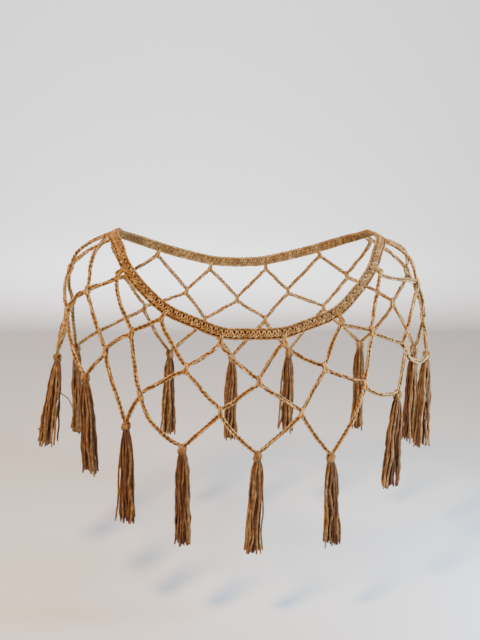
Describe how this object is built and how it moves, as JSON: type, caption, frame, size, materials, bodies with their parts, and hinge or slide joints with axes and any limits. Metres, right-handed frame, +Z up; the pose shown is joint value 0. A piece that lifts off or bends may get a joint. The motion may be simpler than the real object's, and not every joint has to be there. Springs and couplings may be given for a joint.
{
  "type": "crochet collar",
  "caption": "Crocheted yarn collar: a flat closed neck band hung with an open net of chain loops and a fringe of long tassels, kept in its worn form.",
  "frame": {"origin": "on the neck axis, level with where the band rests on the tops of the shoulders", "axes": "+Z up, -Y towards the front of the wearer, +X towards the wearer's left"},
  "size_m": [0.4694, 0.2538, 0.3366],
  "materials": {
    "yarn": "matte plied yarn"
  },
  "bodies": {
    "root": {"neck_band": "yarn", "net_round_1": "yarn", "net_round_2": "yarn", "net_round_3": "yarn", "tassel_01": "yarn", "tassel_02": "yarn", "tassel_03": "yarn", "tassel_04": "yarn", "tassel_05": "yarn", "tassel_06": "yarn", "tassel_07": "yarn", "tassel_08": "yarn", "tassel_09": "yarn", "tassel_10": "yarn", "tassel_11": "yarn", "tassel_12": "yarn", "tassel_13": "yarn", "tassel_14": "yarn"}
  },
  "joints": []
}
